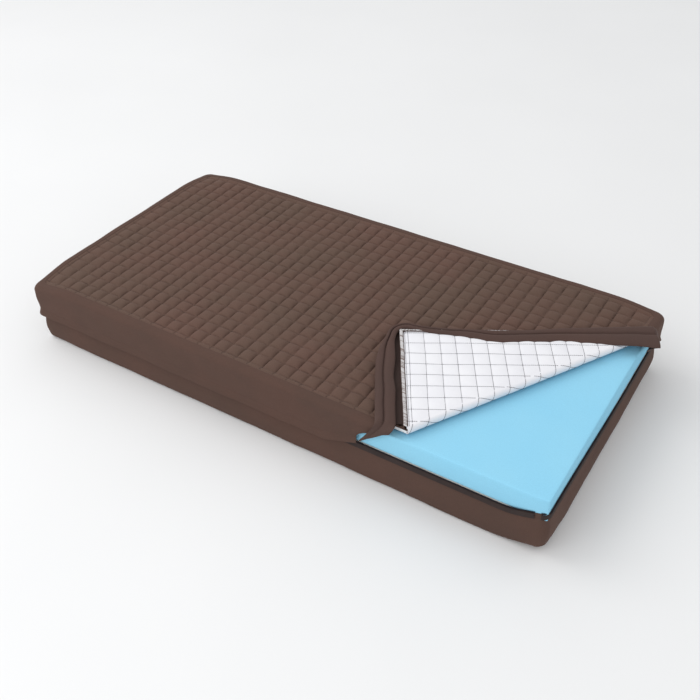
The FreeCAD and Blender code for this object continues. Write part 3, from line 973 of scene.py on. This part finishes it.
def leg_points(leg, along, depth, height):
    """Closed points on a leg's side of the mattress, from their depth behind its outer face."""
    along, depth, height = np.broadcast_arrays(along, depth, height)
    if leg == "long":
        return np.stack([along, depth - HALF_WIDTH, height], axis=-1)
    return np.stack([HALF_LENGTH - depth, along, height], axis=-1)


OVERLOCK_LEVEL = BACKING_BOTTOM - 0.9
# The depth of the loops' middle, and their width
OVERLOCK = {"long": (SEAM_INSET - 2.4, 7.4), "short": (SEAM_INSET - 0.6, 4.2)}
# The seam allowance's section: distance out from the seam, and height
ALLOWANCE = np.array([(6.6, PANEL_TOP - 1.6), (6.3, 146.5), (6.0, 143.5), (5.6, OVERLOCK_LEVEL + 0.6),
                      (3.0, OVERLOCK_LEVEL), (0.2, OVERLOCK_LEVEL), (-1.4, OVERLOCK_LEVEL + 0.5)])


def seam_cut_x():
    """Where the fold crosses the near seam."""
    return FOLD_POINT[0] + (-SEAM_Y - FOLD_POINT[1]) * FOLD_WAY[0] / FOLD_WAY[1]


def seam_cut_y():
    """Where the fold crosses the right seam."""
    return FOLD_POINT[1] + (SEAM_X - FOLD_POINT[0]) * FOLD_WAY[1] / FOLD_WAY[0]


def seam_span(leg):
    """Where the leg's seam runs, from the fold to the corner."""
    if leg == "long":
        return seam_cut_x() + 1.0, SEAM_X + 3
    return -SEAM_Y - 3, seam_cut_y() - 1.0


def laid_beads(name, leg, along, depth, height, way, size, materials, **options):
    """Beads on a leg's seam. way is how far each one's far end is along the leg and behind its outer face."""
    centres = leg_points(leg, along, depth, height)
    tips = leg_points(leg, along + way[0], depth + way[1], height)
    heads = leg_points(leg, along, depth, height - 1.0)
    lines = (laid_back(p, "corner_fold") for p in (centres, tips, heads))
    return beads(name, *lines, size, materials, **options)


def overlock_seam(leg, light, dark):
    """Loops of thread that bind the raw edges inside the cover."""
    along = np.arange(*seam_span(leg), 1.6)
    rng = np.random.default_rng(61)
    top = OVERLOCK_LEVEL - 0.7 + 0.25 * rng.uniform(-1, 1, len(along))
    middle, width = OVERLOCK[leg]
    depth = middle + 0.3 * rng.uniform(-1, 1, len(along)) + 0.5 * ripple(along, 0, 60, 62)
    pale = (rng.uniform(0, 1, len(along)) < 0.72).astype(int)
    loops = laid_beads("overlock_loops_" + leg, leg, along, depth, top, (0.7, -1.0), (width, 1.5, 1.5),
                       [dark, light], face_material=list(pale))
    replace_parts(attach(loops, "flap"), "flap_overlock_" + leg)


def seam_allowance(leg, material):
    """The raw edges themselves, turned in along the seam."""
    start, end = seam_span(leg)
    grid = np.linspace(start, end, 70)[:, None]
    depth = SEAM_INSET - ALLOWANCE[None, :, 0] + 0.5 * ripple(grid, 0, 60, 62)
    height = ALLOWANCE[None, :, 1]
    outer = laid_back(leg_points(leg, grid, depth, height), "corner_fold")
    inner = laid_back(leg_points(leg, grid, depth + 0.9, height + 0.7), "corner_fold")
    allowance = cloth_grid("seam_allowance_" + leg, outer, inner, [material])
    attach(allowance, "flap")


def seam_stitches(leg, material):
    """A stitched line in the backing, beside the seam."""
    start, end = seam_span(leg)
    along = np.arange(start + 2, end - 8, SEAM_STITCH_PITCH)
    depth = SEAM_INSET + 4.4
    spot = leg_points(leg, along, depth, 0)
    level = backing_level(spot[:, 0], spot[:, 1]) - STITCH_PROUD
    line = laid_beads("seam_stitches_" + leg, leg, along, depth, level, (1.0, 0.0), SEAM_STITCH, [material])
    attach(line, "flap")


ROLL_RISE = FOLD_POINT[2] - BACKING_BOTTOM - 0.5    # from the fold's axis up to the backing
ROLL_CLOTH = 1.2
ROLL_TURN = 98.0            # degrees above and below level
ROLL_STITCH_LIFT = 0.2


def roll_reach(t, span):
    """How far the rounded fold stands out: least at the near side."""
    return 6.2 + 2.2 * smooth(t / (0.55 * span)) + 0.5 * ripple(t, 0, 130, 71)


def roll_points(t, theta, inset, span):
    """Points at t along the rounded fold and at an angle theta round it, inset from its face."""
    reach = np.maximum(roll_reach(t, span) - inset, 1.0)
    out = reach * np.cos(theta) - 0.4
    height = FOLD_POINT[2] + (ROLL_RISE - inset) * np.sin(theta)
    t, out, height = np.broadcast_arrays(t, out, height)
    base = FOLD_POINT + FOLD_WAY * t[..., None] + FOLD_OUT * out[..., None]
    return np.stack([base[..., 0], base[..., 1], height], axis=-1)


def fold_span():
    near = (-SEAM_Y - FOLD_POINT[1]) / FOLD_WAY[1]
    right = (SEAM_X - FOLD_POINT[0]) / FOLD_WAY[0]
    return near, right


def blend_round_fold(piece):
    """Bake a piece's transform into its mesh; it is not shared between the main part and the flap."""
    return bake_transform(piece)


def fold_roll(material):
    """The backing where the panel turns over on itself."""
    near, right = fold_span()
    t = np.linspace(near, right, 110)[:, None]
    theta = np.radians(np.linspace(-ROLL_TURN, ROLL_TURN, 22))[None, :]
    outer = roll_points(t, theta, 0.0, right)
    inner = roll_points(t, theta, ROLL_CLOTH, right)
    roll = cloth_grid("fold_roll", outer, inner, [material])
    return blend_round_fold(roll)


def roll_stitches(material):
    """The quilting's stitched lines, carried on round the fold."""
    near, right = fold_span()
    crossings = []
    for axis, lines in ((0, range(10, 20)), (1, range(-9, 8))):
        slope = FOLD_WAY[1] / FOLD_WAY[0] if axis == 0 else -FOLD_WAY[0] / FOLD_WAY[1]
        crossings += [((k * QUILT_PITCH - FOLD_POINT[axis]) / FOLD_WAY[axis], slope) for k in lines]
    centres, tips, heads = [], [], []
    for place, slope in crossings:
        arc = np.arange(1.0, 20.0, 3.0 if slope < 0 else 1.7)
        t, theta = place + slope * arc, math.pi / 2 - arc / ROLL_RISE
        keep = (t > near) & (t < right) & (theta > -1.2)
        ahead = t + slope * 0.5, theta - 0.5 / ROLL_RISE
        centres.append(roll_points(t, theta, -ROLL_STITCH_LIFT, right)[keep])
        tips.append(roll_points(*ahead, -ROLL_STITCH_LIFT, right)[keep])
        heads.append(roll_points(t, theta, -ROLL_STITCH_LIFT - 1.0, right)[keep])
    lines = (np.vstack(p) for p in (centres, tips, heads))
    stitches = beads("fold_stitches", *lines, FOLD_STITCH, [material])
    return blend_round_fold(stitches)


# ---------------------------------------------------------------- materials

def preset(node, values):
    for name, value in values.items():
        node.inputs[name].default_value = value
    return node


def node_material(name):
    """A new material, its node tree and shader, and the coordinates that its textures are drawn in."""
    material = bpy.data.materials.new(name)
    material.use_nodes = True
    tree = material.node_tree
    coords = tree.nodes.new("ShaderNodeTexCoord").outputs["Object"]
    return material, tree, tree.nodes["Principled BSDF"], coords


def noise(tree, coords, scale, detail, roughness=0.55):
    settings = {"Scale": scale, "Detail": detail, "Roughness": roughness}
    texture = preset(tree.nodes.new("ShaderNodeTexNoise"), settings)
    tree.links.new(coords, texture.inputs["Vector"])
    return texture.outputs["Fac"]


def ramp(tree, value, low, high, low_colour, high_colour):
    stops = tree.nodes.new("ShaderNodeValToRGB")
    for stop, place, colour in zip(stops.color_ramp.elements, (low, high), (low_colour, high_colour)):
        stop.position = place
        stop.color = (*colour, 1)
    tree.links.new(value, stops.inputs["Fac"])
    return stops.outputs["Color"]


def multiplied(tree, first, second):
    mix = tree.nodes.new("ShaderNodeMix")
    mix.data_type = "RGBA"
    mix.blend_type = "MULTIPLY"
    mix.inputs["Factor"].default_value = 1.0
    tree.links.new(first, mix.inputs["A"])
    tree.links.new(second, mix.inputs["B"])
    return mix.outputs["Result"]


def tinted(colour, factor):
    return tuple(min(1.0, c * factor) for c in colour)


def soft_material(name, colour, patches, patch_size, grain, grain_depth, contrast, roughness=0.9, sheen=0.0,
                  specular=0.25):
    """Cloth, foam or thread: uneven colour in patches, fine grain, and a bump of the same grain."""
    material, tree, shader, coords = node_material(name)
    broad = noise(tree, coords, 1 / patch_size, 3.0)
    fine = noise(tree, coords, 1 / grain, 2.0, 0.6)
    base = ramp(tree, broad, 0.36, 0.66, colour, patches)
    white = (1.0, 1.0, 1.0)
    shade = ramp(tree, fine, 0.3, 0.72, tinted(white, 1 - contrast), white)
    tree.links.new(multiplied(tree, base, shade), shader.inputs["Base Color"])
    bump = preset(tree.nodes.new("ShaderNodeBump"), {"Strength": 0.6, "Distance": grain_depth})
    tree.links.new(fine, bump.inputs["Height"])
    tree.links.new(bump.outputs["Normal"], shader.inputs["Normal"])
    preset(shader, {"Roughness": roughness, "Specular IOR Level": specular})
    if sheen:
        tint = (*tinted(colour, 4.5), 1)
        preset(shader, {"Sheen Weight": sheen, "Sheen Roughness": 0.45, "Sheen Tint": tint})
    return material


def metal_material(name, colour):
    material, tree, shader, coords = node_material(name)
    wear = ramp(tree, noise(tree, coords, 900.0, 3.0), 0.35, 0.7, colour, tinted(colour, 1.8))
    tree.links.new(wear, shader.inputs["Base Color"])
    preset(shader, {"Metallic": 0.85, "Roughness": 0.38})
    return material


# Of each soft look: the material's name, its colour, the colour and size of its patches, the size and depth
# of its grain, and how much the grain darkens it
SOFT_LOOKS = {
    "quilt": ("quilt_velvet", (0.116, 0.072, 0.054), (0.128, 0.072, 0.055), 0.16, 0.0011, 0.0003, 0.22),
    "band": ("band_velvet", (0.090, 0.052, 0.040), (0.101, 0.055, 0.042), 0.12, 0.0011, 0.0003, 0.22),
    "cuff": ("cuff_velvet", (0.081, 0.049, 0.041), (0.090, 0.052, 0.043), 0.10, 0.0011, 0.0003, 0.22),
    # the cuff's own cloth again, drawn darker: painted shade on the band's inner side, which lies in shadow
    # under the hem
    "cuff_painted_shade": ("cuff_painted_shade", (0.056, 0.036, 0.031), (0.066, 0.042, 0.036), 0.08, 0.0009, 0.0002, 0.2),
    "base": ("base_cloth", (0.09, 0.057, 0.046), (0.1, 0.06, 0.048), 0.14, 0.0012, 0.0003, 0.2),
    "backing": ("backing_nonwoven", (0.80, 0.795, 0.83), (0.84, 0.835, 0.86), 0.08, 0.0016, 0.0002, 0.05),
    "wadding": ("wadding_fibre", (0.86, 0.86, 0.87), (0.9, 0.9, 0.9), 0.05, 0.0025, 0.0008, 0.12),
    "quilt_thread": ("quilt_thread", (0.075, 0.045, 0.036), (0.09, 0.054, 0.043),
                     0.02, 0.0006, 0.0001, 0.3),
    "grey_thread": ("grey_thread", (0.09, 0.085, 0.105), (0.13, 0.12, 0.14), 0.03, 0.0006, 0.0001, 0.3),
    "pale_thread": ("pale_thread", (0.62, 0.60, 0.60), (0.74, 0.72, 0.72), 0.02, 0.0006, 0.0001, 0.3),
    "dark_thread": ("dark_thread", (0.25, 0.19, 0.17), (0.33, 0.27, 0.25), 0.02, 0.0006, 0.0001, 0.3),
    "tape": ("zip_tape_weave", (0.035, 0.024, 0.022), (0.045, 0.03, 0.027), 0.03, 0.0008, 0.0002, 0.3),
    "coil": ("zip_coil_nylon", (0.02, 0.018, 0.024), (0.03, 0.024, 0.028), 0.02, 0.0015, 0.0001, 0.15),
    "foam": ("comfort_foam_blue", (0.275, 0.62, 0.83), (0.298, 0.64, 0.835), 0.25, 0.0018, 0.0003, 0.06),
    "core": ("support_foam_white", (0.74, 0.73, 0.68), (0.78, 0.77, 0.72), 0.25, 0.0022, 0.0004, 0.1),
}
FINISHES = {
    "quilt": {"sheen": 0.12},
    "band": {"sheen": 0.12},
    "cuff": {"sheen": 0.1},
    "backing": {"roughness": 0.85},
    "wadding": {"roughness": 0.95},
    "quilt_thread": {"roughness": 0.7},
    "grey_thread": {"roughness": 0.7},
    "pale_thread": {"roughness": 0.75},
    "dark_thread": {"roughness": 0.75},
    "tape": {"roughness": 0.8},
    "coil": {"roughness": 0.8, "specular": 0.1},
    "foam": {"roughness": 0.95, "specular": 0.15},
    "core": {"roughness": 0.95, "specular": 0.15},
}


def materials():
    looks = {look: soft_material(*values, **FINISHES.get(look, {})) for look, values in SOFT_LOOKS.items()}
    looks["metal"] = metal_material("zip_enamel", (0.05, 0.037, 0.033))
    return looks


def paint_cad(looks):
    """The CAD nodes that stay are the zip's metal parts."""
    for node in ("zip_start_stop", "zip_end_stops", "zip_slider", "zip_pull"):
        mesh = frame["nodes"][node].data
        mesh.materials.clear()
        mesh.materials.append(looks["metal"])


# ---------------------------------------------------------------- building it


def quilted_panel(looks, name, body, side, joints):
    """One body's share of the panel: face, wadding, backing and stitches."""
    plan = panel_plan(side)
    face = slab(name + "_quilt_face", plan, face_top, face_bottom, [looks["quilt"]], joints)
    wadding = slab(name + "_quilt_wadding", plan, wadding_top, wadding_bottom, [looks["wadding"]], joints)
    backing = slab(name + "_quilt_backing", plan, backing_top, backing_level, [looks["backing"]], joints)
    for sheet, node in ((face, "_face_cloth"), (backing, "_backing_cloth")):
        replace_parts(sheet, name + node)
    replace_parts(wadding, name + "_wadding")
    top_line = quilting_stitches(name + "_quilt_stitches", side,
                                 lambda x, y: face_top(x, y) + STITCH_PROUD, 1.0,
                                 TOP_STITCH_PITCH, TOP_STITCH, [looks["quilt_thread"]], joints)
    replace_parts(top_line, name + "_quilting_thread")
    pieces = [face, wadding, backing, top_line]
    if side > 0:
        under_line = quilting_stitches("flap_backing_stitches", side,
                                       lambda x, y: backing_level(x, y) - STITCH_PROUD, -1.0,
                                       BACKING_STITCH_PITCH, BACKING_STITCH, [looks["grey_thread"]], joints)
        pieces.append(under_line)
    for piece in pieces:
        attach(piece, body)


def build():
    looks = materials()
    quilted_panel(looks, "main", "root", -1, ())
    quilted_panel(looks, "flap", "flap", 1, ("corner_fold",))
    upper_band(looks["band"])
    lower_band(looks["band"])
    base_cover(looks["base"])
    foam("foam_comfort_layer", "comfort_foam", FOAM_SPLIT, FOAM_TOP, 3.0, looks["foam"])
    foam("foam_support_layer", "support_foam", FOAM_BOTTOM, FOAM_SPLIT, 0.0, looks["core"])
    zips(looks)
    seam_binding("panel_binding", "main_overlock_seam", side_where("near", 296), side_where("right", 196),
                 (SEAM_INSET - 5.0, SEAM_INSET - 2.0, SEAM_INSET + 1.0), BACKING_BOTTOM - 0.4,
                 looks["pale_thread"])
    seam_binding("base_binding", "base_overlock_seam", *ALL_ROUND, (40.0, 44.0, 48.0), 2.7,
                 looks["pale_thread"])
    for leg in ("long", "short"):
        leg_cuff(leg, looks)
        leg_zip(leg, looks)
        overlock_seam(leg, looks["pale_thread"], looks["dark_thread"])
        seam_allowance(leg, looks["cuff"])
        seam_stitches(leg, looks["grey_thread"])
    corner_cuff(looks)
    drapes(looks)
    fold_roll(looks["backing"])
    roll_stitches(looks["grey_thread"])
    paint_cad(looks)


# ---------------------------------------------------------------- floor, light and camera

def floor():
    size = 14.0
    mesh = bpy.data.meshes.new("floor")
    corners = [(-size, -size, 0), (size, -size, 0), (size, size, 0), (-size, size, 0)]
    mesh.from_pydata(corners, [], [(0, 1, 2, 3)])
    ground = bpy.data.objects.new("floor", mesh)
    material, tree, shader, coords = node_material("floor_paint")
    paint = ramp(tree, noise(tree, coords, 1.5, 2.0), 0.3, 0.7, (0.80, 0.80, 0.80), (0.82, 0.82, 0.82))
    tree.links.new(paint, shader.inputs["Base Color"])
    preset(shader, {"Roughness": 0.8})
    mesh.materials.append(material)
    bpy.context.scene.collection.objects.link(ground)
    ground.location.z = -0.0005


def area_light(name, place, target, size, power):
    light = bpy.data.lights.new(name, "AREA")
    light.energy = power
    light.shape = "DISK"
    light.size = size
    lamp = bpy.data.objects.new(name, light)
    lamp.location = place
    lamp.rotation_euler = (Vector(target) - Vector(place)).to_track_quat("-Z", "Y").to_euler()
    bpy.context.scene.collection.objects.link(lamp)


def lights():
    world = bpy.data.worlds.new("studio")
    world.use_nodes = True
    preset(world.node_tree.nodes["Background"], {"Color": (0.98, 0.99, 1.0, 1), "Strength": 0.85})
    bpy.context.scene.world = world
    bpy.context.scene.view_settings.view_transform = "Standard"
    area_light("key", (-3.3, -0.75, 3.75), (0.0, 0.0, 0.1), 3.6, 68.0)
    area_light("fill", (-0.6, -2.6, 1.9), (-0.1, -0.2, 0.1), 2.6, 24.0)


CAMERA_PLACE = (0.8494, -1.2844, 1.2410)
CAMERA_TURN = (2.142, 0.6785, -0.0172)      # yaw, pitch and roll in radians
FOCAL_LENGTH = 46.04                        # in millimetres, for a sensor 36 wide


def camera():
    yaw, pitch, roll = CAMERA_TURN
    forward = Vector((math.cos(yaw) * math.cos(pitch), math.sin(yaw) * math.cos(pitch), -math.sin(pitch)))
    right = Vector((math.sin(yaw), -math.cos(yaw), 0.0))
    up = right.cross(forward)
    right, up = right * math.cos(roll) + up * math.sin(roll), up * math.cos(roll) - right * math.sin(roll)
    lens = bpy.data.cameras.new("camera")
    lens.lens = FOCAL_LENGTH
    lens.sensor_width = 36.0
    view = bpy.data.objects.new("camera", lens)
    axes = Matrix((right, up, -forward)).transposed()
    view.matrix_world = Matrix.Translation(CAMERA_PLACE) @ axes.to_4x4()
    bpy.context.scene.collection.objects.link(view)
    bpy.context.scene.camera = view


build()
floor()
lights()
camera()
